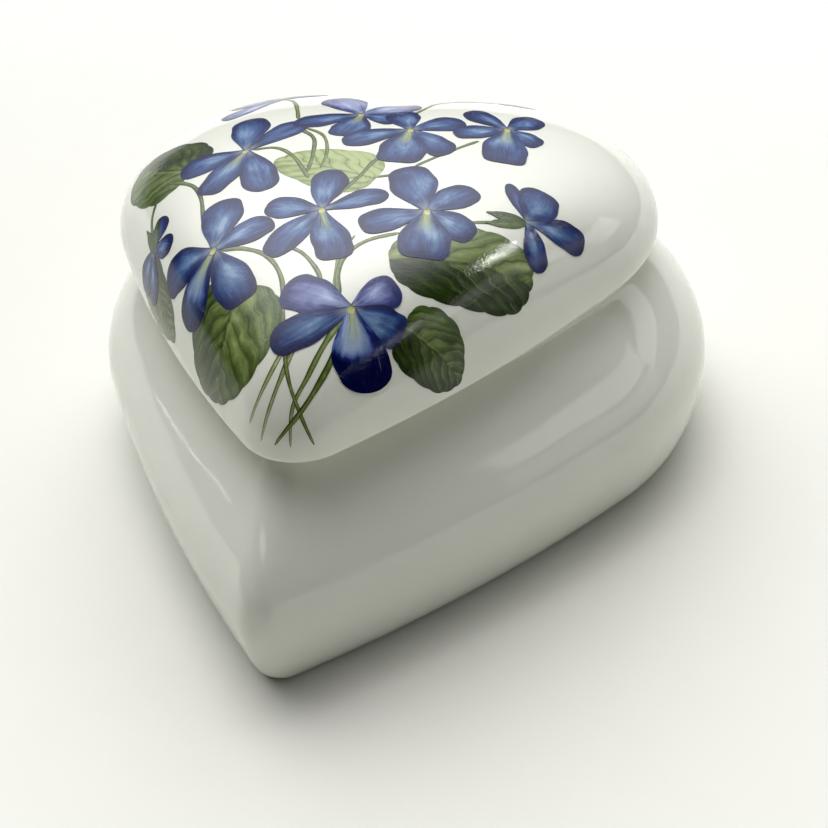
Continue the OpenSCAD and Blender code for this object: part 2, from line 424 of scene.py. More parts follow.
def porcelain(name, tint):
    """Clear glaze over white body; attribute glaze is 0 on the bare biscuit, pool_and_shade is where glaze gathers and
    where painted shade darkens the colour.
    """
    g = Mat(name)
    co = g.objco()
    glaze, pool_and_shade = g.attr("glaze"), g.attr("pool_and_shade")
    cloud = g.noise(co, 38.0, 3.0, 0.5)
    fine = g.noise(co, 420.0, 3.0, 0.6)
    white = g.ramp(cloud, [(0.3, tuple(c * 0.975 for c in tint[:3]) + (1,)), (0.62, tint)])
    white = g.mix(g.smooth(fine, 0.35, 0.75, 0.0, 0.10), white, tuple(c * 0.95 for c in tint[:3]) + (1,))
    # glaze gathers greener in the hollows; the darkening there, under the lid rim, at the foot and inside, is painted
    # shade
    white = g.mix(g.math("MULTIPLY", pool_and_shade, 0.35), white, lin(206, 212, 196))
    # a few iron specks
    vor = g.add("ShaderNodeTexVoronoi", {"Vector": co, "Scale": 95.0, "Randomness": 1.0})
    pick = g.smooth(g.add("ShaderNodeSeparateColor", {0: vor.outputs["Color"]}).outputs[0], 0.955, 0.96)
    dot = g.math("MULTIPLY", g.smooth(vor.outputs["Distance"], 0.012, 0.024, 1.0, 0.0), pick)
    white = g.mix(g.math("MULTIPLY", dot, 0.6), white, lin(96, 84, 66))
    bisc = g.ramp(g.noise(co, 900.0, 4.0, 0.65), [(0.3, lin(206, 203, 190)), (0.7, lin(226, 223, 210))])
    stain = g.smooth(g.noise(co, 160.0, 3.0, 0.6), 0.5, 0.8, 0.0, 0.35)
    bisc = g.mix(stain, bisc, lin(168, 158, 138))
    col = g.mix(glaze, bisc, white)
    # gloss: slow ripple from the brush and dip, pin-prick texture, matt where unglazed
    ripple = g.noise(co, 120.0, 2.0, 0.5)
    pin = g.noise(co, 1100.0, 2.0, 0.6)
    b1 = g.bump(ripple, 0.16, 0.0006)
    b2 = g.bump(pin, 0.035, 0.0001, b1)
    grit = g.bump(g.noise(co, 4200.0, 3.0, 0.6), g.math("MULTIPLY_ADD", glaze, -0.3, 0.3), 0.00008, b2)
    rough = g.math("MULTIPLY_ADD", glaze, -0.56, 0.62)
    rough = g.math("ADD", rough, g.smooth(cloud, 0.35, 0.7, 0.0, 0.04))
    p = g.add("ShaderNodeBsdfPrincipled", {"Base Color": col, "Roughness": rough, "Normal": grit})
    p.inputs["IOR"].default_value = 1.5
    p.inputs["Subsurface Weight"].default_value = 0.12
    p.inputs["Subsurface Radius"].default_value = (1.0, 0.9, 0.7)
    p.inputs["Subsurface Scale"].default_value = 0.0016
    return g.out(p)


def print_bsdf(g, col, co, spec=0.4):
    """The fired-on print: a little less gloss than the glaze, with the slight orange-peel of the enamel."""
    ripple = g.noise(co, 120.0, 2.0, 0.5)
    peel = g.noise(co, 2300.0, 3.0, 0.6)
    b = g.bump(peel, 0.22, 0.00012, g.bump(ripple, 0.16, 0.0006))
    rough = g.smooth(g.noise(co, 1300.0, 2.0, 0.5), 0.35, 0.7, 0.06, 0.18)
    p = g.add("ShaderNodeBsdfPrincipled", {"Base Color": col, "Roughness": rough, "Normal": b})
    p.inputs["IOR"].default_value = 1.5
    p.inputs["Specular IOR Level"].default_value = spec
    return g.out(p)


def petal_material():
    g = Mat("violet_enamel")
    co = g.objco()
    u, v, e, s, tone, green = (g.attr(k) for k in ("pu", "pv", "pe", "ps", "pt", "pg"))
    va = g.math("ABSOLUTE", v)
    mul, add, sub = (lambda a, b, o=o: g.math(o, a, b) for o in ("MULTIPLY", "ADD", "SUBTRACT"))
    # wet blots, brush streaks along the petal and hair-fine strokes
    blot = g.noise(g.xyz(mul(u, 1.5), mul(v, 0.9), mul(s, 31.0)), 1.5, 3.0, 0.55, 0.6)
    streak = g.noise(g.xyz(mul(u, 1.6), mul(v, 4.2), mul(s, 57.0)), 1.0, 4.0, 0.6, 0.5)
    hair = g.noise(g.xyz(mul(u, 2.0), mul(v, 15.0), mul(s, 71.0)), 1.0, 3.0, 0.65)
    grain = g.noise(co, 1700.0, 2.0, 0.6)
    cu = g.math("MULTIPLY_ADD", g.math("FRACT", mul(s, 7.3)), 0.22, 0.36)
    cv = g.math("MULTIPLY_ADD", g.math("FRACT", mul(s, 13.7)), 0.5, -0.25)
    du, dv = mul(sub(u, cu), 3.9), mul(sub(v, cv), 1.7)
    window = g.math("EXPONENT", mul(add(mul(du, du), mul(dv, dv)), -1.0))
    t = g.math("MULTIPLY_ADD", u, 0.42, 0.34)
    t = add(t, mul(sub(blot, 0.5), 1.15))
    t = add(t, mul(sub(streak, 0.5), 0.60))
    t = add(t, mul(sub(hair, 0.5), 0.20))
    t = add(t, mul(sub(grain, 0.5), 0.10))
    t = sub(t, mul(window, 0.42))
    t = g.math("ADD", t, mul(g.smooth(e, 0.0, 1.5, 0.50, 0.0), g.smooth(blot, 0.25, 0.6, 0.40, 1.0)), clamp=True)
    blue = g.ramp(t, [(0.0, lin(134, 156, 186)), (0.14, lin(98, 126, 164)), (0.34, lin(68, 96, 142)), (0.56, lin(43, 66, 118)),
                      (0.78, lin(32, 47, 98)), (1.0, lin(27, 35, 78))])
    lilac = g.ramp(t, [(0.0, lin(172, 184, 214)), (0.2, lin(142, 154, 194)), (0.45, lin(112, 120, 170)), (0.7, lin(76, 84, 138)),
                       (0.88, lin(56, 64, 116)), (1.0, lin(42, 48, 98))])
    # deep navy petals darken further towards the tip: print colour plus painted shade where the dome curves away from
    # the light
    navy_shaded_tip = g.ramp(add(t, g.smooth(u, 0.50, 0.68, -0.18, 0.42)), [(0.0, lin(150, 168, 198)), (0.25, lin(112, 134, 180)), (0.48, lin(72, 90, 148)),
                                                             (0.66, lin(26, 36, 98)), (1.0, lin(4, 8, 58))])
    col = g.mix(g.smooth(tone, 0.45, 0.75), blue, lilac)
    col = g.mix(g.smooth(tone, 0.2, 0.05), col, navy_shaded_tip)
    # pale throat, and the yellow-green tongue of the lowest petal
    throat = mul(g.smooth(u, 0.26, 0.03), g.smooth(va, 1.0, 0.3))
    col = g.mix(mul(throat, 0.50), col, lin(176, 188, 186))
    tongue = mul(mul(g.smooth(u, 0.56, 0.16), g.smooth(va, 0.62, 0.12)), mul(green, g.smooth(streak, 0.30, 0.52)))
    col = g.mix(mul(tongue, 0.85), col, lin(166, 176, 108))
    # dark guide lines out of the throat
    wob = g.noise(g.xyz(mul(u, 4.0), v, mul(s, 91.0)), 1.0, 2.0)
    line = g.smooth(g.math("ABSOLUTE", g.math("SINE", g.math("MULTIPLY_ADD", v, 7.0, mul(wob, 4.5)))), 0.0, 0.42, 1.0, 0.0)
    line = mul(line, mul(g.smooth(u, 0.50, 0.08), g.smooth(hair, 0.30, 0.60)))
    col = g.mix(mul(line, 0.72), col, lin(34, 38, 76))
    # dry-brush lights towards the tip
    pale = mul(g.smooth(hair, 0.60, 0.72), mul(g.smooth(u, 0.25, 0.5), g.smooth(e, 0.4, 1.4)))
    col = g.mix(mul(pale, 0.26), col, lin(160, 176, 208))
    return print_bsdf(g, col, co, 0.28)


def leaf_material():
    g = Mat("leaf_enamel")
    co = g.objco()
    u, v, e, s, tone, side = (g.attr(k) for k in ("pu", "pv", "pe", "ps", "pt", "pg"))
    mul, add, sub = (lambda a, b, o=o: g.math(o, a, b) for o in ("MULTIPLY", "ADD", "SUBTRACT"))
    va = g.math("ABSOLUTE", v)
    seed = mul(s, 41.0)
    wash = g.noise(g.xyz(mul(u, 1.2), mul(v, 0.8), seed), 1.7, 3.0, 0.55, 0.5)
    crook = g.noise(g.xyz(mul(u, 2.2), mul(v, 1.4), add(seed, 5.0)), 1.4, 2.0, 0.5)
    # side veins leave the midrib and bend forward
    arcv = add(mul(va, 0.30), mul(mul(va, va), 0.34))
    slant = add(sub(u, arcv), mul(sub(crook, 0.5), 0.34))
    brush = g.noise(g.xyz(mul(slant, 9.0), mul(v, 1.6), seed), 1.0, 4.0, 0.65, 0.5)
    ph = add(mul(slant, 5.6), mul(g.math("SIGN", v), 0.2))
    fr = g.math("FRACT", add(ph, 8.0))
    pleat = sub(0.5, g.math("ABSOLUTE", sub(fr, 0.42)))
    grain = g.noise(co, 1500.0, 2.0, 0.6)
    near = g.smooth(va, 1.0, 0.55)
    t = add(mul(sub(tone, 0.5), 0.95), 0.46)
    t = add(t, mul(side, g.smooth(add(v, mul(sub(crook, 0.5), 0.7)), -0.34, 0.34, -1.0, 1.0)))
    t = add(t, mul(mul(sub(pleat, 0.25), 0.62), mul(near, g.smooth(brush, 0.30, 0.60, 0.25, 1.0))))
    t = add(t, mul(sub(brush, 0.5), 0.55))
    t = add(t, mul(sub(wash, 0.5), 0.95))
    t = add(t, mul(sub(grain, 0.5), 0.12))
    t = g.math("SUBTRACT", t, mul(g.smooth(e, 0.0, 1.1, 0.20, 0.0), g.smooth(wash, 0.3, 0.6)), clamp=True)
    col = g.ramp(t, [(0.0, lin(24, 38, 8)), (0.2, lin(42, 58, 18)), (0.4, lin(66, 84, 36)), (0.58, lin(92, 110, 54)),
                     (0.76, lin(124, 140, 82)), (1.0, lin(164, 178, 118))])
    vein = mul(g.smooth(g.math("ABSOLUTE", sub(fr, 0.97)), 0.0, 0.11, 1.0, 0.0), mul(near, g.smooth(brush, 0.34, 0.62)))
    col = g.mix(mul(vein, 0.62), col, lin(30, 44, 12))
    lit = mul(g.smooth(g.math("ABSOLUTE", sub(fr, 0.20)), 0.0, 0.09, 1.0, 0.0), mul(near, g.smooth(crook, 0.42, 0.62)))
    col = g.mix(mul(lit, 0.34), col, lin(150, 164, 104))
    vm = add(v, mul(sub(crook, 0.5), 0.16))
    col = g.mix(mul(g.smooth(g.math("ABSOLUTE", vm), 0.0, 0.055, 1.0, 0.0), mul(g.smooth(u, 0.92, 0.5), 0.55)), col, lin(36, 50, 16))
    col = g.mix(mul(g.smooth(g.math("ABSOLUTE", sub(vm, 0.075)), 0.0, 0.05, 1.0, 0.0), mul(g.smooth(u, 0.8, 0.3), 0.40)), col, lin(146, 158, 98))
    return print_bsdf(g, col, co)


def stem_material():
    g = Mat("stem_enamel")
    co = g.objco()
    u, v, s, tone = (g.attr(k) for k in ("pu", "pv", "ps", "pt"))
    mul, add, sub = (lambda a, b, o=o: g.math(o, a, b) for o in ("MULTIPLY", "ADD", "SUBTRACT"))
    n = g.noise(g.xyz(mul(u, 8.0), mul(v, 0.9), mul(s, 23.0)), 1.0, 4.0, 0.65)
    vv = sub(v, 0.15)
    t = sub(0.74, mul(mul(vv, vv), 0.62))
    t = add(t, mul(sub(n, 0.5), 0.9))
    t = g.math("ADD", t, mul(sub(tone, 0.5), 1.1), clamp=True)
    col = g.ramp(t, [(0.0, lin(34, 48, 14)), (0.3, lin(62, 78, 28)), (0.55, lin(92, 106, 50)), (0.8, lin(132, 144, 88)), (1.0, lin(178, 186, 146))])
    return print_bsdf(g, col, co)


def eye_material():
    g = Mat("throat_enamel")
    co = g.objco()
    u, v, s = g.attr("pu"), g.attr("pv"), g.attr("ps")
    n = g.noise(co, 2600.0, 3.0, 0.6)
    t = g.math("ADD", g.math("MULTIPLY", u, 0.8), g.math("MULTIPLY", g.math("SUBTRACT", n, 0.5), 0.9), clamp=True)
    col = g.ramp(t, [(0.0, lin(120, 118, 52)), (0.3, lin(176, 170, 84)), (0.65, lin(190, 194, 128)), (1.0, lin(146, 156, 122))])
    return print_bsdf(g, col, co)


# ---------------------------------------------------------------- the print: generic violets of this builder's own drawing
H0, DH = 0.014, 0.0042        # height of the first layer over the glaze and of each further layer, mm


def edge_distance(p, outline):
    a, b = outline, np.roll(outline, -1, axis=0)
    ab = b - a
    ap = p[:, None] - a[None]
    t = np.clip((ap * ab).sum(2) / ((ab * ab).sum(1) + 1e-12), 0, 1)
    return np.sqrt(((ap - t[..., None] * ab) ** 2).sum(2).min(1))


def patch(outline, centre, rings):
    """Disc grid inside a star-shaped outline: (K*N+1, 2) points, centre last."""
    k = np.linspace(1, 0, rings + 1)[:-1]
    pts = np.vstack([centre + (outline - centre) * s for s in k] + [[centre]])
    return pts


def patch_faces(n, rings):
    f = []
    for r in range(rings - 1):
        a = r * n
        f += [(a + i, a + (i + 1) % n, a + n + (i + 1) % n, a + n + i) for i in range(n)]
    a = (rings - 1) * n
    f += [(a + i, a + (i + 1) % n, rings * n) for i in range(n)]
    return f


class Sheet:
    """Collects closed thin flakes that lie on the dome, as one object."""

    def __init__(self):
        self.v, self.f, self.a, self.n = [], [], {k: [] for k in ("pu", "pv", "pe", "ps", "pt", "pg")}, 0

    def flake(self, XY, n, rings, layer, attrs, dh=None):
        """XY: patch points (mm, print plane). First n points are the outline."""
        area = np.sum(XY[:n, 0] * np.roll(XY[:n, 1], -1) - np.roll(XY[:n, 0], -1) * XY[:n, 1])
        h = H0 + DH * layer
        hh = np.full(len(XY), h) if dh is None else h + dh
        top = DOME.at(XY[:, 0], XY[:, 1], hh)
        rim = DOME.at(XY[:n, 0], XY[:n, 1], -0.05)
        mid = DOME.at(XY[-1:, 0], XY[-1:, 1], -0.25)
        v = np.vstack([top, rim, mid])
        m = len(top)
        f = patch_faces(n, rings)
        f += [(i, m + i, m + (i + 1) % n, (i + 1) % n) for i in range(n)]
        f += [(m + (i + 1) % n, m + i, m + n) for i in range(n)]
        if area < 0:
            f = [t[::-1] for t in f]
        f = [tuple(q + self.n for q in t) for t in f]
        self.v.append(v)
        self.f += f
        for k in self.a:
            x = np.broadcast_to(np.asarray(attrs.get(k, 0.0), float), (m,))
            self.a[k].append(np.r_[x, x[:n], x[-1]])
        self.n += len(v)

    def build(self, name):
        ob = new_mesh(name, to_row(np.vstack(self.v)), self.f, {k: np.concatenate(x) for k, x in self.a.items()})
        me = ob.data
        # crisp break between each flake's face and its thin side
        me.calc_loop_triangles()
        nz = np.zeros(len(me.polygons) * 3, np.float32)
        me.polygons.foreach_get("normal", nz)
        nz = nz.reshape(-1, 3)
        first = {}
        sharp = np.zeros(len(me.edges), bool)
        ei = {}
        for p in me.polygons:
            for k in p.edge_keys:
                if k in first:
                    if np.dot(nz[first[k]], nz[p.index]) < 0.6:
                        ei[k] = True
                else:
                    first[k] = p.index
        for e in me.edges:
            if tuple(sorted(e.vertices)) in ei:
                sharp[e.index] = True
        at = me.attributes.new("sharp_edge", "BOOLEAN", "EDGE")
        at.data.foreach_set("value", sharp)
        me.update()
        return ob


def petal_profile(u, um, g0, flat):
    """Half width (0..1) along a petal: narrow claw, widest at um, blunt tip."""
    return np.where(u < um, g0 + (1 - g0) * np.sin(pi / 2 * np.clip(u / um, 0, 1)) ** 1.5,
                    np.clip(1 - (np.clip(u - um, 0, 1) / (1 - um)) ** flat, 0, 1) ** (1 / flat))


def petal_outline(L, W, um, g0, flat, wob, rng, n=64):
    """Generic obovate petal with an uneven, softly lobed end: claw at the origin, tip near (L, 0)."""
    half = n // 2
    q = np.linspace(0, 1, half + 1)
    u = np.where(q < 0.5, um * (q / 0.5) ** 0.9, um + (1 - um) * np.sin((q - 0.5) / 0.5 * pi / 2))
    g = petal_profile(u, um, g0, flat)
    ph = rng.uniform(0, 2 * pi, 5)
    lean = rng.uniform(-0.10, 0.10)
    pts = []
    for side in (1, -1):
        idx = range(0, half + 1) if side == 1 else range(half - 1, -1, -1)
        for i in idx:
            th = side * (1 - u[i] ** 2)
            k = wob * (math.sin(3 * th + ph[0]) * 0.9 + math.sin(7 * th + ph[1]) * 0.45 + math.sin(13 * th + ph[2]) * 0.25) * min(1, u[i] * 1.5)
            e = math.cos(pi / 2 * min(1, abs(g[i]))) if u[i] > um else 0
            pts.append((u[i] * L * (1 + k * 0.5 * e), side * g[i] * W / 2 * (1 + k + side * lean * u[i])))
    return np.array(pts)


def add_petal(sh, T, P, W, layer, rng, tone=0.35, um=0.66, g0=0.16, flat=2.4, bend=0.0, wob=0.06, n=64, rings=10, back=0.2, green=0.0):
    T, P = np.array(T, float), np.array(P, float)
    L = np.hypot(*(P - T))
    e = (P - T) / L
    T = T - e * back
    L += back
    nrm = np.array([-e[1], e[0]])
    o = petal_outline(L, W, um, g0, flat, wob, rng, n)
    loc = patch(o, np.array([L * 0.55, 0.0]), rings)
    u = np.clip(loc[:, 0] / L, 0, 1)
    g = np.clip(petal_profile(u, um, g0, flat), 0.2, 1)
    v = np.clip(loc[:, 1] / (g * W / 2 + 1e-9), -1, 1)
    pe = edge_distance(loc, o)
    b = loc[:, 1] + bend * L * (loc[:, 0] / L) ** 2
    XY = T + loc[:, :1] * e + b[:, None] * nrm
    sh.flake(XY, len(o), rings, layer, dict(pu=u, pv=v, pe=pe, ps=rng.uniform(), pt=tone, pg=green))


def leaf_outline(L, W, rng, teeth, notch, tip, n=168, full=2.25, taper=0.22):
    """Generic rounded, scalloped heart leaf: stalk at the origin, tip at (L, 0)."""
    f = np.linspace(-pi, pi, n, endpoint=False)
    ph = rng.uniform(0, 2 * pi, 3)
    a = np.abs(f)
    r = 1 - notch * np.exp(-((pi - a) / 0.42) ** 2) + tip * np.exp(-(a / 0.30) ** 2)
    r = r * (1 + 0.030 * np.sin(2 * f + ph[0]) + 0.022 * np.sin(3 * f + ph[1]) + 0.014 * np.sin(5 * f + ph[2]))
    wave = np.abs(np.sin(f * teeth / 2 + ph[0])) ** 0.7
    r = r * (1 + 0.045 * (wave - 0.7) * np.clip(1.15 - 0.3 * np.cos(f), 0, 1) * (1 - np.exp(-((pi - a) / 0.5) ** 2)))
    c, s = np.cos(f), np.sin(f)
    k = (np.abs(c) ** full + np.abs(s) ** full) ** (-1 / full)
    x = r * k * c
    y = r * k * s * (1 - taper * c)
    x0 = x[0]
    x = (x - x.min()) / (x.max() - x.min())
    x = x - x[0]
    x = x / x.max()
    return np.c_[x * L, y / np.abs(y).max() * W / 2]


def add_leaf(sh, B, P, W, layer, rng, tone=0.5, teeth=17, notch=0.16, tip=0.06, bend=0.0, n=168, rings=16, flip=1, side=0.2, full=2.25, taper=0.22):
    B, P = np.array(B, float), np.array(P, float)
    L = np.hypot(*(P - B))
    e = (P - B) / L
    nrm = np.array([-e[1], e[0]]) * flip
    o = leaf_outline(L, W, rng, teeth, notch, tip, n, full, taper)
    loc = patch(o, np.array([L * 0.40, 0.0]), rings)
    u = loc[:, 0] / L
    v = np.clip(loc[:, 1] / (W / 2), -1, 1)
    pe = edge_distance(loc, o)
    b = loc[:, 1] + bend * L * (loc[:, 0] / L) ** 2
    XY = B + loc[:, :1] * e + b[:, None] * nrm
    sh.flake(XY, len(o), rings, layer, dict(pu=u, pv=v, pe=pe, ps=rng.uniform(), pt=tone, pg=side))


def spline(pts, m):
    """Catmull-Rom through the points, m samples, even in length."""
    p = np.array(pts, float)
    p = np.vstack([2 * p[0] - p[1], p, 2 * p[-1] - p[-2]])
    out = []
    for i in range(1, len(p) - 2):
        t = np.linspace(0, 1, 24, endpoint=False)[:, None]
        a, b, c, d = p[i - 1], p[i], p[i + 1], p[i + 2]
        out.append(0.5 * (2 * b + (c - a) * t + (2 * a - 5 * b + 4 * c - d) * t ** 2 + (3 * b - a - 3 * c + d) * t ** 3))
    out = np.vstack(out + [p[-2:-1]])
    l = np.r_[0, np.cumsum(np.hypot(*np.diff(out, axis=0).T))]
    q = np.linspace(0, l[-1], m)
    return np.c_[np.interp(q, l, out[:, 0]), np.interp(q, l, out[:, 1])], l[-1]


def add_stem(sh, pts, w0, w1, layer, rng, tone=0.45, fade=0.0, flip=1):
    m = max(10, int(spline(pts, 10)[1] / 0.5))
    c, L = spline(pts, m)
    d = np.gradient(c, axis=0)
    d /= np.hypot(*d.T)[:, None]
    nrm = np.c_[-d[:, 1], d[:, 0]] * flip
    q = np.linspace(0, 1, m)
    w = mix(w0, w1, q) * (0.35 + 0.65 * np.clip(np.minimum(q, 1 - q) * L / 0.8, 0, 1) ** 0.5) / 2
    ph = rng.uniform(0, 6)
    w = w * (1 + 0.10 * np.sin(q * L * 1.1 + ph))
    k = 5
    vv = np.linspace(1, -1, k)
    top = np.array([[c[i] + nrm[i] * w[i] * s for s in vv] for i in range(m)])
    X, Y = top[..., 0].ravel(), top[..., 1].ravel()
    h = H0 + DH * layer
    t3 = DOME.at(X, Y, h)
    loop = [i * k for i in range(m)] + [(m - 1) * k + j for j in range(1, k)] + [i * k + k - 1 for i in range(m - 2, -1, -1)] + [j for j in range(k - 2, 0, -1)]
    bot = DOME.at(X, Y, -0.05)
    f = []
    for i in range(m - 1):
        for j in range(k - 1):
            a = i * k + j
            f.append((a, a + 1, a + k + 1, a + k))
    nt_ = len(t3)
    f += [tuple(nt_ + q_ for q_ in t[::-1]) for t in list(f)]
    for a, b in zip(loop, loop[1:] + loop[:1]):
        f.append((a, b, nt_ + b, nt_ + a))
    v = np.vstack([t3, bot])
    # outward check on the first face
    n0 = np.cross(v[f[0][1]] - v[f[0][0]], v[f[0][2]] - v[f[0][0]])
    if np.dot(n0, v[f[0][0]] - bot[f[0][0]]) < 0:
        f = [t[::-1] for t in f]
    sh.v.append(v)
    sh.f += [tuple(a + sh.n for a in t) for t in f]
    u = np.repeat(q, k)
    V = np.tile(vv, m)
    tn = tone + fade * np.clip(u - 0.55, 0, 1) / 0.45
    sd = rng.uniform()
    for key, x in dict(pu=u * L / 10, pv=V, pe=(1 - abs(V)) * 0.3, ps=np.full(len(u), sd), pt=tn, pg=0 * u).items():
        sh.a[key].append(np.r_[x, x])
    sh.n += len(v)


rng = np.random.default_rng(4127)
stems, leaves, petals, eyes = Sheet(), Sheet(), Sheet(), Sheet()

# stems: points in the print plane (mm), root width, end width, layer, tone, tone gained towards the end
for pts, w0, w1, k, tone, fade in (
        ([(-12.8, -13.5), (-9.5, -13.7), (-6.0, -15.2), (-3.2, -19.0), (-1.6, -25.0), (0.2, -31.5), (2.2, -35.6), (4.2, -39.2)], 0.72, 0.42, 3, 0.42, 0.1),
        ([(6.4, -22.6), (5.4, -27.0), (4.4, -31.0), (2.4, -35.4), (-0.9, -39.8)], 0.95, 0.42, 4, 0.40, 0.1),
        ([(5.4, -22.8), (3.8, -27.5), (2.6, -31.5), (1.3, -35.2), (1.2, -39.9)], 0.85, 0.32, 2, 0.52, 0.2),
        ([(0.8, -26.5), (-0.6, -32.0), (-2.9, -39.4)], 0.80, 0.30, 1, 0.60, 0.35),
        ([(-0.4, -27.5), (-2.2, -32.0), (-4.6, -37.2)], 0.75, 0.28, 1, 0.64, 0.35),
        ([(-3.6, -13.5), (-1.6, -14.6), (0.9, -17.4), (2.0, -20.0)], 0.55, 0.6, 2, 0.42, 0),
        ([(4.2, -20.6), (3.3, -17.2), (3.6, -14.0), (5.6, -11.2), (9.0, -9.2)], 0.75, 0.55, 2, 0.42, 0),
        ([(3.6, -20.4), (3.0, -16.8), (2.8, -13.8), (3.8, -10.6)], 0.5, 0.45, 1, 0.50, 0),
        ([(-26.5, 3.4), (-23.5, 2.0), (-21.0, 0.2), (-18.8, -3.2), (-16.4, -9.6)], 0.70, 0.55, 2, 0.38, 0),
        ([(-15.2, 8.2), (-11.8, 8.4), (-8.6, 5.8), (-5.2, 0.8)], 0.60, 0.6, 4, 0.40, 0),
        ([(-10.2, 14.0), (-7.4, 11.0), (-6.2, 6.0), (-5.8, 2.2)], 0.65, 0.5, 5, 0.36, 0),
        ([(-9.6, 14.4), (-6.4, 12.0), (-4.6, 7.6), (-4.3, 3.2)], 0.5, 0.45, 4, 0.48, 0),
        ([(-17.0, 28.2), (-15.4, 26.6), (-13.6, 23.0), (-11.6, 17.6)], 0.6, 0.6, 1, 0.48, 0),
        ([(4.0, 9.4), (2.2, 5.4), (1.2, 1.6), (-0.8, -3.6)], 0.6, 0.55, 5, 0.36, 0),
        ([(7.8, 5.2), (10.4, 8.6), (14.4, 13.8)], 0.55, 0.55, 1, 0.38, 0),
        ([(3.8, 19.4), (5.0, 23.4), (6.2, 27.4), (9.5, 30.0), (15.0, 32.0)], 0.60, 0.4, 1, 0.48, 0.1),
        ([(1.6, 1.4), (4.2, 2.2), (7.4, 3.6)], 0.55, 0.55, 2, 0.30, 0),
        ([(14.8, -6.2), (17.2, -4.8), (19.8, -3.6)], 0.5, 0.6, 1, 0.40, 0),
        ([(-27.6, 0.5), (-27.8, -3.0), (-26.6, -7.0)], 0.55, 0.55, 3, 0.38, 0)):
    add_stem(stems, pts, w0, w1, k, rng, tone, fade)

# leaves: stalk point, tip, width, layer, tone, scallops, notch, tip, bend, light side (+ left of the axis), fullness, taper
for B, P, w_, k, tone, teeth, notch, tip, bend, side, full, taper in (
        ((-22.6, 4.4), (-36.0, 10.6), 13.6, 2, 0.44, 11, 0.10, 0.06, -0.10, 0.16, 2.25, 0.22),
        ((3.4, 1.4), (-10.6, 6.4), 10.4, 2, 1.02, 9, 0.08, 0.05, 0.05, -0.05, 2.25, 0.22),
        ((-29.6, -8.8), (-24.0, -23.4), 8.2, 2, 0.44, 11, 0.06, 0.08, 0.06, -0.10, 2.25, 0.22),
        ((-8.4, -19.4), (-11.8, -34.2), 15.6, 4, 0.52, 15, 0.12, 0.07, 0.05, 0.08, 2.6, 0.06),
        ((8.8, -14.0), (27.4, -9.0), 11.8, 4, 0.47, 17, 0.06, 0.02, 0.0, 0.22, 2.3, 0.02),
        ((12.6, -22.6), (23.0, -24.6), 9.8, 6, 0.38, 13, 0.14, 0.05, -0.10, 0.16, 2.25, 0.10)):
    add_leaf(leaves, B, P, w_, k, rng, tone, teeth, notch, tip, bend, side=side, full=full, taper=taper)

# violets: throat, then petals as (tip x, tip y, width, layer within the flower, tone, bluntness); tone near 0 deep navy
# with painted shade towards the tip, 0.35 blue, 0.8 lilac
V = [
    (7, (-3.0, 19.4), [(-8.6, 27.4, 6.2, 0, 0.70, 2.6), (3.4, 25.8, 5.6, 0, 0.62, 2.4), (-11.2, 15.2, 4.6, 1, 0.4, 2.2), (3.6, 18.2, 4.4, 1, 0.45, 2.2), (-3.2, 12.0, 5.6, 2, 0.5, 3.0)]),
    (7, (-16.0, 8.0), [(-19.2, 19.2, 5.6, 0, 0.30, 2.2), (-10.2, 16.6, 4.8, 0, 0.25, 2.2), (-24.2, 3.6, 5.4, 1, 0.3, 2.4), (-18.0, -2.6, 4.8, 2, 0.35, 3.0), (-9.8, -1.4, 5.2, 1, 0.3, 2.4)]),
    (7, (-26.6, -8.0), [(-24.4, -3.8, 3.4, 0, 0.5, 2.2), (-32.0, -10.6, 4.6, 1, 0.35, 2.4), (-28.8, -15.0, 4.0, 2, 0.3, 2.4), (-21.8, -10.0, 3.4, 1, 0.5, 2.2)]),
    (11, (5.0, 14.8), [(1.8, 21.2, 4.8, 0, 0.35, 2.2), (11.2, 19.6, 4.8, 0, 0.28, 2.2), (-3.8, 10.8, 4.4, 1, 0.25, 2.2), (11.4, 9.6, 4.6, 1, 0.32, 2.6), (5.0, 5.4, 6.4, 2, 0.3, 3.4)]),
    (11, (-1.6, -6.0), [(-3.0, 3.0, 4.8, 0, 0.32, 2.2), (5.8, -1.4, 3.8, 1, 0.3, 2.0), (-9.4, -5.4, 4.4, 1, 0.25, 2.2), (-6.2, -15.0, 4.4, 1, 0.3, 2.6), (2.0, -15.4, 5.0, 2, 0.33, 3.2)]),
    (11, (-13.8, -13.4), [(-14.8, -3.7, 5.8, 0, 0.36, 2.2), (-7.0, -8.8, 4.6, 0, 0.28, 2.4), (-22.8, -15.4, 6.0, 1, 0.33, 2.6), (-7.6, -22.2, 5.6, 1, 0.36, 3.0), (-17.8, -24.0, 5.6, 2, 0.12, 2.0)]),
    (15, (17.4, 18.8), [(11.0, 23.6, 4.2, 0, 0.3, 2.2), (21.2, 25.4, 4.4, 0, 0.28, 2.2), (10.8, 14.6, 4.0, 1, 0.28, 2.4), (22.6, 16.2, 4.0, 1, 0.28, 2.4), (18.4, 9.0, 6.2, 2, 0.3, 3.8)]),
    (15, (11.4, -4.4), [(6.0, 4.6, 6.2, 0, 0.36, 2.4), (15.8, 2.0, 4.6, 0, 0.32, 2.4), (3.4, -9.0, 4.6, 1, 0.36, 2.2), (18.0, -6.8, 4.6, 1, 0.33, 2.6), (12.6, -13.0, 6.4, 2, 0.36, 3.8)]),
    (15, (23.6, -1.4), [(20.4, 4.6, 2.2, 0, 0.5, 2.2), (24.9, 4.8, 5.6, 1, 0.22, 3.0), (27.4, -6.9, 3.4, 1, 0.5, 2.4), (32.0, 1.0, 3.9, 2, 0.3, 2.6)]),
    (19, (6.0, -22.0), [(-2.2, -20.2, 5.6, 0, 0.9, 2.8), (10.5, -17.1, 4.5, 0, 0.85, 2.6), (-2.0, -28.6, 4.6, 1, 0.4, 2.2), (12.7, -23.5, 5.0, 1, 0.36, 3.4), (9.2, -31.6, 7.2, 2, 0.0, 2.1)]),
]
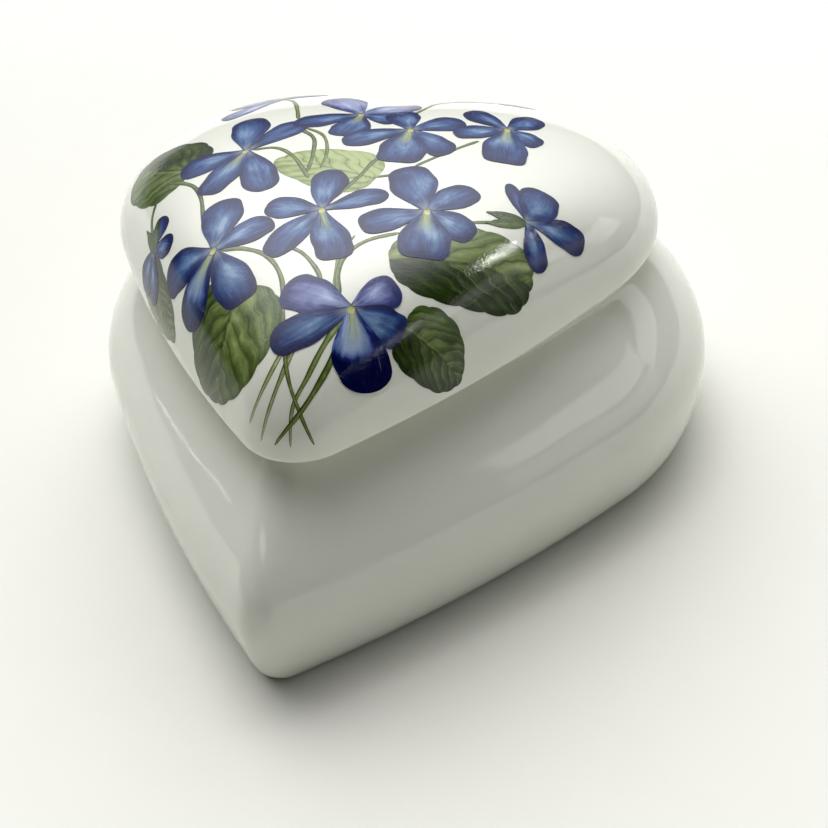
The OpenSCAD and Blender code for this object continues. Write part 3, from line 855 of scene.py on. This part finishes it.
for base_layer, c, ps in V:
    for i, (x, y, w_, k, tone, flat) in enumerate(ps):
        add_petal(petals, c, (x, y), w_, base_layer + k, rng, tone, um=0.66 + rng.uniform(-0.05, 0.05), flat=flat,
                  bend=rng.uniform(-0.06, 0.06), wob=0.085, green=1.0 if k == 2 and len(ps) == 5 else 0.0)
    if len(ps) == 5:
        low = np.array([p[:2] for p in ps if p[3] == 2][0])
        d = (low - np.array(c)) / np.hypot(*(low - np.array(c)))
        add_petal(eyes, np.array(c) - d * 0.35, np.array(c) + d * 0.75, 0.8, base_layer + 3.2, rng, 0.5, um=0.5, g0=0.55, wob=0.15, n=24, rings=4, back=0)

# bracts behind the side-view flowers
for B, P, w_, k, tone in (((23.6, -1.8), (18.4, -2.0), 1.7, 18, 0.45), ((23.2, -2.2), (18.6, -4.0), 1.5, 19, 0.60),
                          ((-26.4, -8.4), (-28.8, -3.4), 1.6, 11, 0.40), ((-26.2, -8.2), (-25.8, -3.4), 1.4, 11, 0.52)):
    add_leaf(leaves, B, P, w_, k, rng, tone, 0, 0.0, 0.3, 0.04, n=60, rings=6, side=0.05)
# a violet and a bud over the back edge, where only one petal tip and two stems show from the front
back_c = (-17.6, 28.8)
for x, y, w_, k, tone, flat, gr in ((-25.0, 20.4, 3.8, 5, 0.85, 2.2, 0), (-12.6, 33.6, 3.4, 5, 0.34, 2.2, 0), (-25.8, 28.6, 4.6, 6, 0.36, 2.4, 0),
                                    (-15.0, 36.6, 4.2, 6, 0.32, 2.4, 0), (-21.0, 36.2, 5.4, 7, 0.34, 3.2, 1.0)):
    add_petal(petals, back_c, (x, y), w_, k, rng, tone, um=0.66, flat=flat, bend=rng.uniform(-0.06, 0.06), wob=0.085, green=gr)
add_petal(eyes, (-17.5, 28.5), (-18.0, 29.6), 0.8, 8.2, rng, 0.5, um=0.5, g0=0.55, wob=0.15, n=24, rings=4, back=0)
add_petal(petals, (14.8, 31.8), (17.2, 35.4), 2.4, 2, rng, 0.5, wob=0.085)
add_petal(petals, (14.8, 31.8), (19.2, 33.8), 2.8, 3, rng, 0.3, wob=0.085)
for B, P, w_, k, tone in (((14.2, 31.9), (16.8, 34.0), 1.1, 4, 0.45), ((14.3, 31.5), (17.4, 32.4), 1.1, 5, 0.58)):
    add_leaf(leaves, B, P, w_, k, rng, tone, 0, 0.0, 0.3, 0.04, n=60, rings=6, side=0.05)

base_ob = base_piece()
lid_ob = lid_piece()
PORC = lin(230, 232, 221)
base_ob.data.materials.append(porcelain("glazed_porcelain_base", PORC))
lid_ob.data.materials.append(porcelain("glazed_porcelain_lid", PORC))
print_obs = []
for sh, name, mat in ((stems, "print_stems", stem_material()), (leaves, "print_leaves", leaf_material()),
                      (petals, "print_violets", petal_material()), (eyes, "print_throats", eye_material())):
    ob = sh.build(name)
    ob.data.materials.append(mat)
    print_obs.append(ob)

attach(base_ob, "base")
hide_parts("box_base")
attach(lid_ob, "lid")
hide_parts("lid")
for ob in print_obs:
    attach(ob, "lid")

# ---------------------------------------------------------------- stage and light
me = bpy.data.meshes.new("floor")
me.from_pydata([(-3, -3, -0.00005), (3, -3, -0.00005), (3, 3, -0.00005), (-3, 3, -0.00005)], [], [(0, 1, 2, 3)])
floor = bpy.data.objects.new("floor", me)
scene.collection.objects.link(floor)
g = Mat("pale_table")
co = g.objco()
sx = g.add("ShaderNodeSeparateXYZ", {0: co})
# painted light: the table is whiter towards the back and greyer and warmer towards the front, a painted fall-off of the
# light
back = g.smooth(sx.outputs[1], 0.03, 0.20)
paper = g.noise(co, 140.0, 4.0, 0.55)
fcol = g.mix(back, lin(231, 231, 224), lin(240, 240, 239))
fcol = g.mix(g.smooth(paper, 0.4, 0.7, 0.0, 0.05), fcol, lin(218, 216, 203))
p = g.add("ShaderNodeBsdfPrincipled", {"Base Color": fcol, "Roughness": 0.75, "Normal": g.bump(g.noise(co, 900.0, 3.0, 0.6), 0.15, 0.0001)})
p.inputs["Specular IOR Level"].default_value = 0.2
floor.data.materials.append(g.out(p))

w = bpy.data.worlds.new("studio")
scene.world = w
w.use_nodes = True
wt = w.node_tree
bg = wt.nodes["Background"]
tc = wt.nodes.new("ShaderNodeTexCoord")
total = None
# soft lights all round: azimuth, elevation, strength; each falls off with the tenth power of the cosine
for az, el, k in ((-45, 38, 0.55), (0, 38, 0.70), (-45, 50, 3.15), (0, 50, 2.15), (-60, 62, 1.25), (0, 62, 0.98)):
    ra, re = math.radians(az), math.radians(el)
    dot = wt.nodes.new("ShaderNodeVectorMath")
    dot.operation = "DOT_PRODUCT"
    dot.inputs[1].default_value = (math.sin(ra) * math.cos(re), math.cos(ra) * math.cos(re), math.sin(re))
    wt.links.new(tc.outputs["Generated"], dot.inputs[0])
    pos = wt.nodes.new("ShaderNodeMath")
    pos.operation = "MAXIMUM"
    pos.inputs[1].default_value = 0.0
    wt.links.new(dot.outputs["Value"], pos.inputs[0])
    fall = wt.nodes.new("ShaderNodeMath")
    fall.operation = "POWER"
    fall.inputs[1].default_value = 10.0
    wt.links.new(pos.outputs[0], fall.inputs[0])
    acc = wt.nodes.new("ShaderNodeMath")
    acc.operation = "MULTIPLY_ADD"
    acc.inputs[1].default_value = k
    acc.inputs[2].default_value = 0.0
    wt.links.new(fall.outputs[0], acc.inputs[0])
    if total is not None:
        wt.links.new(total, acc.inputs[2])
    total = acc.outputs[0]
wt.links.new(total, bg.inputs[1])
bg.inputs[0].default_value = (1.0, 1.0, 1.0, 1)


def area(name, az, el, dist, sx_, sy_, watts, roll=0.0, target=(0, 0, 0.03), color=(1, 1, 1)):
    """Area light seen from the box at azimuth az (from +Y towards +X) and elevation el, in degrees."""
    a, e = math.radians(az), math.radians(el)
    d = Vector((math.sin(a) * math.cos(e), math.cos(a) * math.cos(e), math.sin(e)))
    L = bpy.data.lights.new(name, "AREA")
    L.shape = "RECTANGLE"
    L.size, L.size_y, L.energy, L.color = sx_, sy_, watts, color
    o = bpy.data.objects.new(name, L)
    scene.collection.objects.link(o)
    t = Vector(target)
    o.location = t + d * dist
    q = (-d).to_track_quat("-Z", "Y")
    o.rotation_euler = (q.to_matrix() @ Matrix.Rotation(math.radians(roll), 3, "Z")).to_euler()
    return o


area("side_low", 88, 11, 1.0, 0.62, 0.22, 0.28)
area("side_high", 88, 26, 1.0, 0.50, 0.20, 0.52)
area("side_back", 60, 20, 1.0, 0.40, 0.20, 0.40)
area("side_top", 70, 38, 1.0, 0.40, 0.20, 0.15)
panes = [area("pane_right", 61, 43, 0.6, 0.12, 0.024, 0.55, roll=4), area("glint_right", 108.5, 34.5, 0.6, 0.007, 0.020, 0.06)]
# these two catch the lid only, so that they leave no second streak on the shoulder below
only = bpy.data.collections.new("lid_pieces")
for ob in [lid_ob] + print_obs:
    only.objects.link(ob)
for ob in panes:
    ob.light_linking.receiver_collection = only
    ob.visible_diffuse = False
area("strip_left", -96, 47, 0.6, 0.10, 0.008, 0.05)
# soft glints on the glaze only: a long low line on the left, and two panes caught by the ridge of the base
line = area("line_left", -87.3, 5.3, 0.6, 0.18, 0.003, 0.010, roll=36)
line.visible_diffuse = False
ridge = bpy.data.collections.new("base_pieces")
ridge.objects.link(base_ob)
for ob in (area("ridge_left", -112, 30, 0.7, 0.34, 0.075, 0.05), area("ridge_right", -148, 47, 0.7, 0.24, 0.075, 0.12)):
    ob.visible_diffuse = False
    ob.light_linking.receiver_collection = ridge

scene.view_settings.view_transform = "Standard"
scene.view_settings.look = "None"

bpy.context.view_layer.update()
